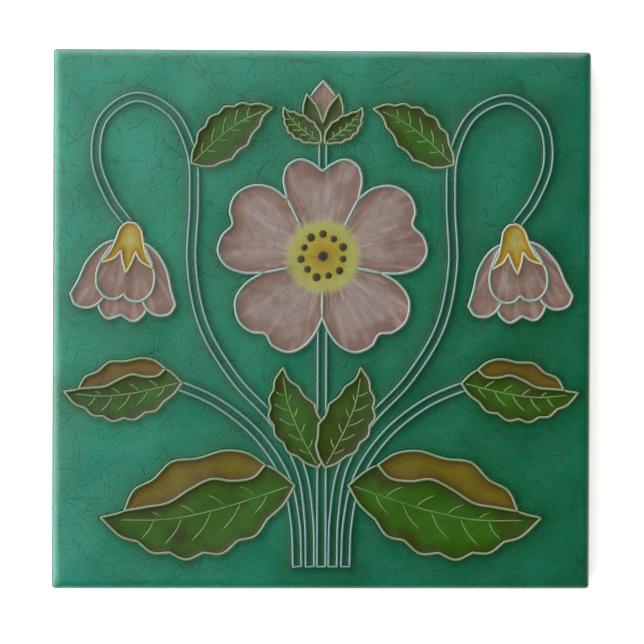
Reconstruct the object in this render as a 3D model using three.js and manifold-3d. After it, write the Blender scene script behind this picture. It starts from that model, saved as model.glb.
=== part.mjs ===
// A six-inch square wall tile of dust-pressed earthenware, glazed on its face.
// Millimetres, +Z up. The tile lies on its back: the origin is the centre of the back's plane,
// the glazed face looks along +Z and the top of its picture is towards +Y.
import * as THREE from 'three';
import * as BufferGeometryUtils from 'three/addons/utils/BufferGeometryUtils.js';
import Module from 'manifold-3d';

// Overall sizes
const SIDE = 152.4; // six inches, the face over its widest edges
const THICKNESS = 9.5; // three eighths of an inch, glaze included

// The front edge, which the die leaves rounded and the glaze softens
const EASING_DEPTH = 1.9; // how far the rounding runs down the side
const EASING_WIDTH = 2.1; // how far it runs in over the face
const EASING_STEPS = 8;

// The corners in plan
const CORNER_RADIUS = 1.1; // at the widest edge
const FACE_CORNER_RADIUS = 2.4; // where the flat face begins
const CORNER_STEPS = 6;

// The sides: an upright band that meets the neighbouring tiles, then the draft of the die
const BAND_HEIGHT = 3.0;
const DRAFT_INSET = 0.5; // how much narrower each side is at the back
const BACK_CHAMFER = 0.5;
const BACK_CORNER_RADIUS = 1.6;

// The key on the back: parallel grooves that the mortar grips, inside a plain rim
const RIM_WIDTH = 9.0; // from the back's edge to the grooves
const GROOVE_COUNT = 8;
const LAND_WIDTH = 6.5; // the flat between two grooves
const GROOVE_DEPTH = 1.4;
const GROOVE_DRAFT = 0.8; // how much each groove wall leans in by the time it reaches the floor
const GROOVE_END_RADIUS = 2.2;
const CUTTER_OVERRUN = 1.0; // how far a cutter starts below the back

const wasm = await Module();
wasm.setup();

// Points of a rounded rectangle, counter-clockwise seen from above, at one height
function roundedRectangle(halfWidth, halfHeight, radius, z) {
  const outline = new THREE.Path();
  outline.absarc(halfWidth - radius, halfHeight - radius, radius, 0, Math.PI / 2, false);
  outline.absarc(radius - halfWidth, halfHeight - radius, radius, Math.PI / 2, Math.PI, false);
  outline.absarc(radius - halfWidth, radius - halfHeight, radius, Math.PI, 1.5 * Math.PI, false);
  outline.absarc(halfWidth - radius, radius - halfHeight, radius, 1.5 * Math.PI, 2 * Math.PI, false);
  const corners = outline.curves.filter((curve) => curve.isEllipseCurve);
  const points = corners.flatMap((curve) => curve.getPoints(CORNER_STEPS));
  return points.map((point) => new THREE.Vector3(point.x, point.y, z));
}

// A closed body through a stack of such rings, from the lowest to the highest
function loft(rings) {
  const count = rings[0].length;
  const positions = rings.flat().flatMap((point) => point.toArray());
  const indices = [];
  for (let level = 0; level + 1 < rings.length; level += 1) {
    for (let i = 0; i < count; i += 1) {
      const next = (i + 1) % count;
      const low = level * count;
      const high = low + count;
      indices.push(low + i, low + next, high + next, low + i, high + next, high + i);
    }
  }
  const top = (rings.length - 1) * count;
  for (let i = 1; i + 1 < count; i += 1) {
    indices.push(0, i + 1, i);
    indices.push(top, top + i, top + i + 1);
  }
  const geometry = new THREE.BufferGeometry();
  geometry.setAttribute('position', new THREE.Float32BufferAttribute(positions, 3));
  geometry.setIndex(indices);
  return geometry;
}

function toSolid(geometry) {
  const merged = BufferGeometryUtils.mergeVertices(geometry);
  return new wasm.Manifold(
    new wasm.Mesh({
      numProp: 3,
      vertProperties: Float32Array.from(merged.attributes.position.array),
      triVerts: Uint32Array.from(merged.index.array),
    }),
  );
}

function toGeometry(solid) {
  const mesh = solid.getMesh();
  const geometry = new THREE.BufferGeometry();
  geometry.setAttribute('position', new THREE.BufferAttribute(mesh.vertProperties, 3));
  geometry.setIndex(new THREE.BufferAttribute(mesh.triVerts, 1));
  geometry.computeVertexNormals();
  return geometry;
}

// The pressed body: back chamfer, draft, upright band and eased front edge
function pressedBody() {
  const half = SIDE / 2;
  const halfBack = half - DRAFT_INSET;
  const bandTop = THICKNESS - EASING_DEPTH;
  const square = (halfSide, radius, z) => roundedRectangle(halfSide, halfSide, radius, z);
  const rings = [
    square(halfBack - BACK_CHAMFER, BACK_CORNER_RADIUS, 0),
    square(halfBack, BACK_CORNER_RADIUS, BACK_CHAMFER),
    square(half, CORNER_RADIUS, bandTop - BAND_HEIGHT),
    square(half, CORNER_RADIUS, bandTop),
  ];
  for (let step = 1; step <= EASING_STEPS; step += 1) {
    const turn = (step / EASING_STEPS) * (Math.PI / 2);
    const inward = 1 - Math.cos(turn);
    const radius = CORNER_RADIUS + (FACE_CORNER_RADIUS - CORNER_RADIUS) * inward;
    rings.push(square(half - EASING_WIDTH * inward, radius, bandTop + EASING_DEPTH * Math.sin(turn)));
  }
  return toSolid(loft(rings));
}

// One groove's cutter, with every wall leaning in towards the groove's floor
function grooveCutter(halfLength, halfWidth, centreY) {
  const lean = GROOVE_DRAFT / GROOVE_DEPTH;
  const ring = (z) => {
    const inset = lean * z;
    return roundedRectangle(halfLength - inset, halfWidth - inset, GROOVE_END_RADIUS - inset, z);
  };
  const cutter = loft([ring(-CUTTER_OVERRUN), ring(GROOVE_DEPTH)]);
  return toSolid(cutter.translate(0, centreY, 0));
}

function tileGeometry() {
  const halfKey = SIDE / 2 - DRAFT_INSET - BACK_CHAMFER - RIM_WIDTH;
  const grooveWidth = (2 * halfKey - (GROOVE_COUNT - 1) * LAND_WIDTH) / GROOVE_COUNT;
  const pitch = grooveWidth + LAND_WIDTH;
  let solid = pressedBody();
  for (let groove = 0; groove < GROOVE_COUNT; groove += 1) {
    const centreY = (groove - (GROOVE_COUNT - 1) / 2) * pitch;
    solid = solid.subtract(grooveCutter(halfKey, grooveWidth / 2, centreY));
  }
  return toGeometry(solid);
}

const glazedClay = new THREE.MeshStandardMaterial({ color: 0x2b7a62, roughness: 0.15, metalness: 0 });

const tile = new THREE.Mesh(tileGeometry(), glazedClay);
tile.name = 'tile';

const model = new THREE.Group();
model.add(tile);

export default model;
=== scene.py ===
"""The looks of a six-inch art nouveau wall tile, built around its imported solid.

The solid is the fired body. Over it come the green glaze coat, the raised lines of the picture and the
pools of coloured glaze that they hold apart, and then the studio. Sizes on the tile are in millimetres:
x to the right, y to the top of the picture and z up, from the centre of the tile's back.
"""

import logging
import math
from collections.abc import Callable, Iterable, Mapping, Sequence
from dataclasses import dataclass, field, replace
from enum import Enum

import bmesh
import bpy
import numpy as np
from mathutils import Matrix, Vector, kdtree


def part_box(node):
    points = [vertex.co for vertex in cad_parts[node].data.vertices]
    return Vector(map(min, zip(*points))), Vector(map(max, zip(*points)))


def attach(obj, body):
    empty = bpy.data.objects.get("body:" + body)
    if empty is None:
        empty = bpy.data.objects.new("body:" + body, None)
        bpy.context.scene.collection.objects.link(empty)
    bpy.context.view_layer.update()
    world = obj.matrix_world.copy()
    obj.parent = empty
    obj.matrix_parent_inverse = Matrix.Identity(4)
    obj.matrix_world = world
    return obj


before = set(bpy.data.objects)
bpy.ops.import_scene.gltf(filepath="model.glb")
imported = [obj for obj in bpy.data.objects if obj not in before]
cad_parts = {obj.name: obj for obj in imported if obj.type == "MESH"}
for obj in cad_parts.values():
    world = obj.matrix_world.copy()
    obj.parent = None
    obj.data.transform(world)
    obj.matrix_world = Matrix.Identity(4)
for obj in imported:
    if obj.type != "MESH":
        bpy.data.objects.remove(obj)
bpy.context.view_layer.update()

LOG = logging.getLogger("tile")
BODY = "root"
MM = 0.001

Point = tuple[float, float]
Run = tuple[Point, ...]
Stops = tuple[tuple[float, str], ...]
Array = np.ndarray
Mesh = bpy.types.Mesh
Piece = bpy.types.Object
Socket = bpy.types.NodeSocket

# Inputs and outputs of a colour Mix node, whose sockets share their names with those of other types
MIX_A, MIX_B, MIX_RESULT = 6, 7, 2

# Settings of nodes
ADD = {"operation": "ADD"}
MULTIPLY = {"operation": "MULTIPLY"}
MULTIPLY_ADD = {"operation": "MULTIPLY_ADD"}
MAXIMUM = {"operation": "MAXIMUM"}
DOT = {"operation": "DOT_PRODUCT"}
MIXING = {"data_type": "RGBA"}
TINTING = {"data_type": "RGBA", "blend_type": "MULTIPLY"}
SMOOTHED = {"interpolation_type": "SMOOTHSTEP"}

# The colour that a noise varies around
NOISE_MIDDLE = (0.5, 0.5, 0.5)

# The middle of the open rose
ROSE_EYE: Point = (0.0, 18.0)

# The way around a square from -1 to 1
SQUARE_AROUND = 8

# The rings that close the coat, counted from its rim: one turned in, and one around its floor
TURNED_RING, FLOOR_RING = 1, 2

# Steps along the drawn lines, and the finer steps on which distances to them are measured
LINE_STEP = 0.55
GAP_STEP = 0.1
SMALLEST_STEP = 1e-6


def linear(colour: str) -> tuple[float, float, float, float]:
    """Turn an sRGB hex colour into the linear values that a shader takes.

    Args:
        colour: the colour as "#rrggbb".

    Returns:
        Red, green, blue and a full alpha.
    """
    parts = (int(colour[place : place + 2], 16) / 255 for place in (1, 3, 5))
    toe, slope, lift, power = 0.04045, 12.92, 0.055, 2.4
    red, green, blue = (c / slope if c <= toe else ((c + lift) / (1 + lift)) ** power for c in parts)
    return red, green, blue, 1.0


def smooth_run(points: Sequence[Point]) -> Array:
    """Draw one smooth run through given points.

    It is a centripetal Catmull-Rom curve, which makes no loop between its points.

    Args:
        points: two or more points.

    Returns:
        The run's points, LINE_STEP or less apart.
    """
    knots = np.array(points, float)
    knots = np.vstack([2 * knots[0] - knots[1], knots, 2 * knots[-1] - knots[-2]])
    pieces = []
    for p0, p1, p2, p3 in zip(knots, knots[1:], knots[2:], knots[3:]):
        roots = [max(math.dist(a, b), SMALLEST_STEP) ** 0.5 for a, b in ((p0, p1), (p1, p2), (p2, p3))]
        t1, t2, t3 = np.cumsum(roots)
        t = np.linspace(t1, t2, math.ceil(math.dist(p1, p2) / LINE_STEP), endpoint=False)[:, None]
        a1 = ((t1 - t) * p0 + t * p1) / t1
        a2 = ((t2 - t) * p1 + (t - t1) * p2) / (t2 - t1)
        a3 = ((t3 - t) * p2 + (t - t2) * p3) / (t3 - t2)
        b1 = ((t2 - t) * a1 + t * a2) / t2
        b2 = ((t3 - t) * a2 + (t - t1) * a3) / (t3 - t1)
        pieces.append(((t2 - t) * b1 + (t - t1) * b2) / (t2 - t1))
    return np.vstack([*pieces, knots[-2]])


def cornered(*runs: Sequence[Point]) -> Array:
    """Join smooth runs at their corners.

    Args:
        runs: the given points of each run, each run starting where the last one ends.

    Returns:
        The points of the whole line.
    """
    drawn = [smooth_run(run) for run in runs]
    return np.vstack([*(run[:-1] for run in drawn[:-1]), drawn[-1]])


def mirror(points: Array) -> Array:
    """Return the twins of points on the other side of the middle line."""
    return points * (-1, 1)


def both_halves(half: Array) -> Array:
    """Close an outline whose left half runs from the middle line to the middle line."""
    return np.vstack([half, mirror(half)[::-1][1:]])


def from_middle(bearings: Iterable[Point]) -> list[Point]:
    """Turn bearings into points.

    Args:
        bearings: pairs of an angle in degrees, from the top over the left, and a radius.

    Returns:
        The same places as x and y.
    """
    return [(-r * math.sin(math.radians(a)), r * math.cos(math.radians(a))) for a, r in bearings]


def enclosed(outline: Array, points: Array) -> Array:
    """Find which points lie inside an outline.

    Args:
        outline: the outline's points, in order.
        points: the points to test.

    Returns:
        True for each point inside.
    """
    x, y = points.T
    inside = np.zeros(len(points), bool)
    for (ax, ay), (bx, by) in zip(outline, np.roll(outline, -1, axis=0)):
        if ay != by:
            inside ^= ((ay > y) != (by > y)) & (x < (bx - ax) * (y - ay) / (by - ay) + ax)
    return inside


class Colour(Enum):
    """What fills a part of the picture."""

    STEM = "stem"
    PETAL = "petal"
    LEAF = "leaf"
    OCHRE = "ochre"
    YELLOW = "yellow"


class Line(Enum):
    """The raised lines, by what they edge."""

    STEM = "stem"
    PETAL = "petal"
    LEAF = "leaf"
    CALYX = "calyx"
    VEIN = "vein"


@dataclass(frozen=True)
class Placing:
    """Where a motif stands on the face: its foot, its turn in degrees and its size."""

    foot: Point = (0.0, 0.0)
    turn: float = 0.0
    size: float = 1.0

    def apply(self, points: Array) -> Array:
        """Move points from the motif's own place to the face."""
        cosine, sine = math.cos(math.radians(self.turn)), math.sin(math.radians(self.turn))
        return self.size * points @ np.array([[cosine, sine], [-sine, cosine]]) + self.foot


@dataclass
class Part:
    """One part of a motif: an outline filled with glaze, and the raised lines on it.

    The eye is the point that a petal's streaks spread from, and the throat is the radius around it
    that is yellow.
    """

    line: Line
    runs: list[Array]
    colour: Colour | None = None
    outline: Array | None = None
    eye: Array = field(default_factory=lambda: np.zeros((1, 2)))
    throat: float = 0.0

    def moved(self, move: Callable[[Array], Array]) -> "Part":
        """Return the part with all its points moved."""
        outline = None if self.outline is None else move(self.outline)
        return replace(self, runs=list(map(move, self.runs)), outline=outline, eye=move(self.eye))


def filled(line: Line, colour: Colour, outline: Array) -> Part:
    """Return a part that is edged by its own outline."""
    return Part(line, [outline], colour, outline)


@dataclass(frozen=True)
class Stem:
    """A stem drawn as two lines side by side."""

    points: Run
    half_width: float = 1.2

    def parts(self) -> list[Part]:
        """Draw the stem and close its foot."""
        middle = smooth_run(self.points)
        along = np.gradient(middle, axis=0)
        along /= np.linalg.norm(along, axis=1)[:, None]
        side = self.half_width * np.stack([-along[:, 1], along[:, 0]], axis=1)
        left, right = middle + side, middle - side
        outline = np.vstack([left[::-1], right])
        return [filled(Line.STEM, Colour.STEM, outline)]


@dataclass(frozen=True)
class OpenRose:
    """An open rose of five notched petals, seen from the front; its foot is its middle."""

    throat: float = 10.5
    top_petal: Run = ((0, 24), (6, 26.2), (13, 28), (21, 27.4), (27, 24.4), (32, 19))
    side_petal: Run = (
        (32, 19), (37, 24), (45, 28), (55, 30), (64, 29.2), (71, 27),
        (79, 29), (88, 29.6), (96, 27.4), (102, 23), (106, 17.6),
    )
    low_petal: Run = (
        (106, 17.6), (110, 23), (117, 27.6), (128, 30), (137, 29.4), (144, 27.4),
        (151, 29), (161, 28.8), (169, 25.8), (175, 21.6), (180, 17.4),
    )
    upper_seam: Run = ((32, 19), (33.5, 14.5), (36.5, 10.4))
    lower_seam: Run = ((106, 17.6), (107.5, 13.6), (109.5, 10.2))
    foot_seam: Run = ((180, 17.4), (180, 13.6), (180, 10.2))

    def parts(self) -> list[Part]:
        """Draw the flower's outline and the seams between its petals."""
        petals = map(from_middle, (self.top_petal, self.side_petal, self.low_petal))
        outline = both_halves(cornered(*petals))
        seams = [smooth_run(from_middle(seam)) for seam in (self.upper_seam, self.lower_seam)]
        seams += list(map(mirror, seams))
        seams.append(smooth_run(from_middle(self.foot_seam)))
        return [Part(Line.PETAL, [outline, *seams], Colour.PETAL, outline, throat=self.throat)]


@dataclass(frozen=True)
class HangingFlower:
    """A half-open flower seen from the side; its foot is the end of its stalk and it opens along +y."""

    back_petal: tuple[Run, ...] = (
        ((0, 15), (-8.6, 24.5)),
        ((-8.6, 24.5), (-8, 29.6), (-4.6, 32.8), (0, 31)),
    )
    side_petal: tuple[Run, ...] = (
        ((-3, 14), (-3, 4)),
        ((-3, 4), (-9.2, 7.2), (-14, 13.4), (-16.4, 20.4), (-18.6, 25.6)),
        ((-18.6, 25.6), (-16.6, 29), (-12, 29.8), (-8.2, 27.4), (-6, 23)),
    )
    front_petal: Run = (
        (0, 3), (-2.4, 3), (-7.6, 9.6), (-10.2, 16.6), (-9.4, 22.4), (-5.8, 25.6), (-2.4, 25.6), (0, 23.8),
    )
    calyx: tuple[Run, ...] = (
        ((0, -1.6), (-1.3, -1.6), (-3.6, 0.6), (-4.8, 4.6), (-6.4, 9.2), (-9.6, 13.6)),
        ((-9.6, 13.6), (-4.8, 11.4), (-2.6, 8.4)),
        ((-2.6, 8.4), (-1.6, 12.2), (0, 16)),
    )

    def parts(self) -> list[Part]:
        """Draw the petals from the back one to the front one, and the calyx over them."""
        back = both_halves(cornered(*self.back_petal))
        side = cornered(*self.side_petal)
        front = both_halves(smooth_run(self.front_petal))
        calyx = both_halves(cornered(*self.calyx))
        side_petal = filled(Line.PETAL, Colour.PETAL, side)
        return [
            filled(Line.PETAL, Colour.PETAL, back),
            side_petal,
            side_petal.moved(mirror),
            filled(Line.PETAL, Colour.PETAL, front),
            filled(Line.CALYX, Colour.YELLOW, calyx),
        ]


@dataclass(frozen=True)
class Leaf:
    """A toothed leaf along +x from its foot, with one edge folded over where it has a fold.

    Every second point of an edge is the notch between two teeth. A vein is given by where it leaves the
    midrib and its length. Its bend and its rise are shares of that length.
    """

    folded: bool = False
    upper_teeth: Run = (
        (0, 0), (4.4, 4.6), (9.6, 7.6), (14, 11.4), (19, 11.6), (24.4, 14.2), (29.4, 12.8),
        (34.6, 13.6), (38.8, 10.6), (43.4, 9.6), (46.8, 5.6), (51, 3.2), (55.5, -3.4),
    )
    lower_teeth: Run = (
        (55.5, -3.4), (48.6, -3.8), (43.2, -7), (37.4, -8), (31.6, -11.2), (25.4, -10.6),
        (19.6, -12.2), (13.8, -10), (8.8, -9), (4.2, -5.4), (0, 0),
    )
    fold: tuple[Run, ...] = (
        (
            (6.8, -7.6), (11, -4.8), (17, -5.2), (22.5, -7), (29, -5.6), (36, -3.2), (42, -3.4),
            (48.6, -3.8),
        ),
        (
            (48.6, -3.8), (44.6, -8.8), (38.6, -10.6), (32.6, -14.2), (25, -13.6), (17, -14),
            (11, -11.8), (6.8, -7.6),
        ),
    )
    midrib: Run = ((1, -0.2), (12, 1), (24, 1.8), (37, 1.4), (51, -1.6))
    upper_veins: Run = ((8, 5.2), (16, 6.8), (24.5, 7.6), (33, 7), (41, 4.8))
    lower_veins: Run = ((11, 4.6), (20, 4.8), (29, 4.2), (38, 3.2))
    vein_bend: Point = (0.4, 0.5)
    vein_rise: float = 0.95

    def parts(self) -> list[Part]:
        """Draw the leaf, its veins and its fold."""
        edges = (self.upper_teeth, self.lower_teeth)
        outline = cornered(*(edge[at : at + 3] for edge in edges for at in range(0, len(edge) - 1, 2)))
        midrib = smooth_run(self.midrib)
        veins = [midrib]
        for side, starts in ((1, self.upper_veins), (-1, self.lower_veins)):
            for x, length in starts:
                root = float(np.interp(x, *midrib.T))
                bend = (x + self.vein_bend[0] * length, root + side * self.vein_bend[1] * length)
                tip = (x + length, root + side * self.vein_rise * length)
                veins.append(smooth_run([(x, root), bend, tip]))
        drawn = [filled(Line.LEAF, Colour.LEAF, outline), Part(Line.VEIN, veins)]
        if self.folded:
            drawn.append(filled(Line.LEAF, Colour.OCHRE, cornered(*self.fold)))
        return drawn


@dataclass(frozen=True)
class Bud:
    """A bud between two sepals, along +y from its foot."""

    petals: Run = ((0, -0.6), (-0.8, -0.6), (-4.2, 2.6), (-5, 7.2), (-3, 11.6), (0, 15.2))
    sepals: tuple[Run, ...] = (
        ((0, -0.6), (-0.8, -0.6), (-4.4, 2.8), (-5.4, 7.6), (-4.4, 11.8)),
        ((-4.4, 11.8), (-1.6, 8.2), (0, 4)),
    )

    def parts(self) -> list[Part]:
        """Draw the closed petals and the sepals over them."""
        petals = both_halves(smooth_run(self.petals))
        sepals = both_halves(cornered(*self.sepals))
        return [filled(Line.PETAL, Colour.PETAL, petals), filled(Line.LEAF, Colour.LEAF, sepals)]


class Picture:
    """The picture on the face, as parts that each lie over those before them."""

    def __init__(self) -> None:
        """Start with a bare face."""
        self.parts: list[Part] = []
        self.tree = kdtree.KDTree(0)

    def add(
        self, motif: Stem | OpenRose | HangingFlower | Leaf | Bud, *places: Placing, paired: bool
    ) -> None:
        """Draw a motif.

        Args:
            motif: what to draw.
            places: where it stands, once for each copy.
            paired: True where each copy has a twin on the other side of the middle line.
        """
        for placing in places:
            parts = [part.moved(placing.apply) for part in motif.parts()]
            self.parts += parts
            if paired:
                self.parts += [part.moved(mirror) for part in parts]

    def owners(self, points: Array) -> Array:
        """Find the topmost filled part at each point.

        Args:
            points: places on the face.

        Returns:
            The number of the part, or -1 on the bare ground.
        """
        owner = np.full(len(points), -1)
        for number, part in reversed(list(enumerate(self.parts))):
            if part.outline is None:
                continue
            low, high = part.outline.min(0), part.outline.max(0)
            near = np.flatnonzero((owner < 0) & (points >= low).all(1) & (points <= high).all(1))
            owner[near[enclosed(part.outline, points[near])]] = number
        return owner

    def colours(self, points: Array) -> list[Colour | None]:
        """Return what fills the picture at each point, which is None on the bare ground."""
        return [None if number < 0 else self.parts[number].colour for number in self.owners(points)]

    def visible_runs(self, *lines: Line) -> list[Array]:
        """Cut away what later parts hide of the raised lines.

        Args:
            lines: the kinds of line that are wanted.

        Returns:
            Each unbroken stretch of line.
        """
        stretches = []
        for number, part in enumerate(self.parts):
            if part.line not in lines:
                continue
            for run in part.runs:
                shown = np.ones(len(run), bool)
                for later in self.parts[number + 1 :]:
                    if later.outline is not None:
                        shown &= ~enclosed(later.outline, run)
                if shown.all():
                    stretches.append(run)
                    continue
                if np.allclose(run[0], run[-1]):
                    start = int(np.argmin(shown))
                    run, shown = np.roll(run[:-1], -start, 0), np.roll(shown[:-1], -start)
                kept = np.flatnonzero(shown)
                if len(kept):
                    cuts = np.flatnonzero(np.diff(kept) > 1) + 1
                    stretches += [run[part_of] for part_of in np.split(kept, cuts) if len(part_of) > 1]
        return stretches

    def measure(self) -> None:
        """Set out close points along the outlines, for measuring distances to them."""
        close = []
        for run in self.visible_runs(Line.STEM, Line.PETAL, Line.LEAF, Line.CALYX):
            for a, b in zip(run, run[1:]):
                shares = np.arange(0, 1, GAP_STEP / max(math.dist(a, b), GAP_STEP))[:, None]
                close += [tuple(place) for place in a + shares * (b - a)]
        self.tree = kdtree.KDTree(len(close))
        for number, (x, y) in enumerate(close):
            self.tree.insert((x, y, 0), number)
        self.tree.balance()

    def nearest(self, point: Point) -> tuple[Vector, float]:
        """Return the place on the outlines that is nearest to a point, and how far it is."""
        place, _, distance = self.tree.find((point[0], point[1], 0))
        return place, distance

    def gaps(self, points: Array) -> Array:
        """Return each point's distance to the nearest outline."""
        return np.array([self.tree.find((x, y, 0))[2] for x, y in points])


def rose_fountain() -> Picture:
    """Lay out the picture: roses on stems that rise together, part and bend down again.

    Returns:
        The finished picture.
    """
    outer_stem = Stem((
        (-6.8, -70), (-7.4, -57.5), (-10.2, -45), (-18, -33), (-29, -24), (-38.4, -19.6), (-44, -18),
    ))
    tall_stem = Stem((
        (-3.2, -70), (-3.6, -56), (-6, -42), (-13.5, -29), (-24.5, -17), (-33.5, -2), (-37, 15),
        (-36.4, 33), (-37.2, 47), (-43, 58.5), (-53, 62.6), (-62, 56.5), (-64, 45), (-60, 34), (-55, 27),
    ))
    middle_stem = Stem(((0, -70), (0, -30), (0, -2)))
    bud_stem = Stem(((0, 38), (0, 52)), half_width=1.0)
    picture = Picture()
    picture.add(outer_stem, Placing(), paired=True)
    picture.add(tall_stem, Placing(), paired=True)
    picture.add(Leaf(folded=True), Placing((-7.6, -47), 193), Placing((-39.6, -18), 188, 0.6), paired=True)
    picture.add(HangingFlower(), Placing((-54.2, 25.8), 174, 0.8), paired=True)
    picture.add(Leaf(), Placing((-37.2, 44), 38, 0.5), paired=True)
    picture.add(bud_stem, Placing(), paired=False)
    picture.add(Bud(), Placing((0, 51.5), 0, 1.05), paired=False)
    picture.add(Leaf(), Placing((-0.6, 50), 140, 0.26), paired=True)
    picture.add(middle_stem, Placing(), paired=False)
    picture.add(Leaf(), Placing((-1, -42), 113, 0.54), paired=True)
    picture.add(OpenRose(), Placing(ROSE_EYE), paired=False)
    picture.measure()
    return picture


class Sheet:
    """A node tree that is being drawn, and the Object coordinates that its patterns start from."""

    def __init__(self, tree: bpy.types.NodeTree) -> None:
        """Take the tree and add its coordinates."""
        self.tree = tree
        self.place = self.add("TexCoord", {}, {}, "Object")

    def feed(self, node: bpy.types.Node, inputs: Mapping[str | int, object]) -> None:
        """Fill the inputs of a node.

        Args:
            node: the node.
            inputs: for each input, by name or number, the value it holds or the output that feeds it.
        """
        for name, value in inputs.items():
            if isinstance(value, Socket):
                self.tree.links.new(value, node.inputs[name])
            else:
                node.inputs[name].default_value = value

    def add(
        self, kind: str, settings: Mapping[str, object], inputs: Mapping[str | int, object],
        output: str | int = 0,
    ) -> Socket:
        """Add one node with its settings and its inputs.

        Args:
            kind: Blender's name for the node's type, less the word ShaderNode.
            settings: the node's own settings, by name.
            inputs: what its inputs hold, as for feed.
            output: the output that is wanted, by name or number.

        Returns:
            That output.
        """
        made = self.tree.nodes.new("ShaderNode" + kind)
        for name, value in settings.items():
            setattr(made, name, value)
        self.feed(made, inputs)
        return made.outputs[output]


def graded(sheet: Sheet, distance: Socket, stops: Stops) -> Socket:
    """Grade a colour by a distance.

    Args:
        sheet: the material's nodes.
        distance: the distance in millimetres.
        stops: rising distances, each with its colour.

    Returns:
        The colour.
    """
    first, last = stops[0][0], stops[-1][0]
    share = sheet.add("MapRange", {}, {"Value": distance, "From Min": first, "From Max": last})
    colour = sheet.add("ValToRGB", {}, {"Fac": share}, "Color")
    ramp = colour.node.color_ramp
    ramp.interpolation = "EASE"
    while len(ramp.elements) < len(stops):
        ramp.elements.new(1.0)
    for element, (place, shade) in zip(ramp.elements, stops):
        element.position = (place - first) / (last - first)
        element.color = linear(shade)
    return colour


@dataclass(frozen=True, kw_only=True)
class Patches:
    """Soft patches of a noise, whose two levels stand for two shares.

    The size is that of a patch, in the units of the coordinates that it lies on.
    """

    size: float
    levels: Point
    shares: Point = (0.0, 1.0)
    detail: float = 2.0
    easing: str = "LINEAR"

    def noise(self, sheet: Sheet, place: Socket) -> Socket:
        """Return the bare noise at a place."""
        return sheet.add("TexNoise", {}, {"Vector": place, "Scale": 1 / self.size, "Detail": self.detail})

    def share(self, sheet: Sheet, place: Socket) -> Socket:
        """Read the noise between its two levels.

        Args:
            sheet: the material's nodes.
            place: the coordinates that the patches lie on.

        Returns:
            The share there.
        """
        spread = {
            "Value": self.noise(sheet, place), "From Min": self.levels[0], "From Max": self.levels[1],
            "To Min": self.shares[0], "To Max": self.shares[1],
        }
        return sheet.add("MapRange", {"interpolation_type": self.easing}, spread)


@dataclass(frozen=True, kw_only=True)
class Clouds(Patches):
    """Soft clouds of a second colour."""

    colour: str
    levels: Point = (0.45, 0.7)
    detail: float = 3.0
    easing: str = "SMOOTHSTEP"

    def over(self, sheet: Sheet, base: Socket) -> Socket:
        """Lay the clouds over a colour and return the outcome."""
        share = self.share(sheet, sheet.place)
        return sheet.add("Mix", MIXING, {0: share, MIX_A: base, MIX_B: linear(self.colour)}, MIX_RESULT)


@dataclass(frozen=True)
class CrackNet:
    """One net of cracks: its cell's size in millimetres, its stretch and the way it runs in degrees."""

    cell: float
    stretch: float
    turn: float


@dataclass(frozen=True, kw_only=True)
class Crazing:
    """The hair cracks of a glaze that shrank more than the body under it.

    Two nets of bent cells cross each other. A crack fades in and out along its length, with a fading
    whose size is in cells. The other sizes are in millimetres.
    """

    nets: tuple[CrackNet, CrackNet] = (CrackNet(4.2, 2.2, 8.0), CrackNet(3.4, 1.9, -62.0))
    width: float = 0.12
    depth: float = 0.012
    bend: float = 4.0
    wander: float = 10.0
    fading: Patches = Patches(size=1.25, levels=(0.36, 0.54))

    def bent(self, sheet: Sheet) -> Socket:
        """Bend the coordinates, so that no crack runs straight.

        Args:
            sheet: the material's nodes.

        Returns:
            The bent coordinates.
        """
        soft = {"Vector": sheet.place, "Scale": 1 / (self.wander * MM)}
        wander = sheet.add("TexNoise", {}, soft, "Color")
        centred = sheet.add("VectorMath", {"operation": "SUBTRACT"}, {0: wander, 1: NOISE_MIDDLE})
        bend = (self.bend * MM, self.bend * MM, 0.0)
        return sheet.add("VectorMath", MULTIPLY_ADD, {0: centred, 1: bend, 2: sheet.place})

    def lines(self, sheet: Sheet) -> Socket:
        """Draw the cracks.

        Args:
            sheet: the material's nodes.

        Returns:
            1 on a crack and 0 off it.
        """
        bent = self.bent(sheet)
        drawn = []
        for net in self.nets:
            size = net.cell * MM
            lie = {
                "Vector": bent, "Rotation": (0.0, 0.0, math.radians(net.turn)),
                "Scale": (size * net.stretch, size, size),
            }
            laid = sheet.add("Mapping", {"vector_type": "TEXTURE"}, lie)
            cells = {"Vector": laid, "Scale": 1.0}
            edge = sheet.add("TexVoronoi", {"feature": "DISTANCE_TO_EDGE"}, cells, "Distance")
            hair = {"Value": edge, "From Max": self.width / net.cell, "To Min": 1.0, "To Max": 0.0}
            crack = sheet.add("MapRange", SMOOTHED, hair)
            shown = {0: crack, 1: self.fading.share(sheet, laid)}
            drawn.append(sheet.add("Math", MULTIPLY, shown))
        return sheet.add("Math", MAXIMUM, dict(enumerate(drawn)))


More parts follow.
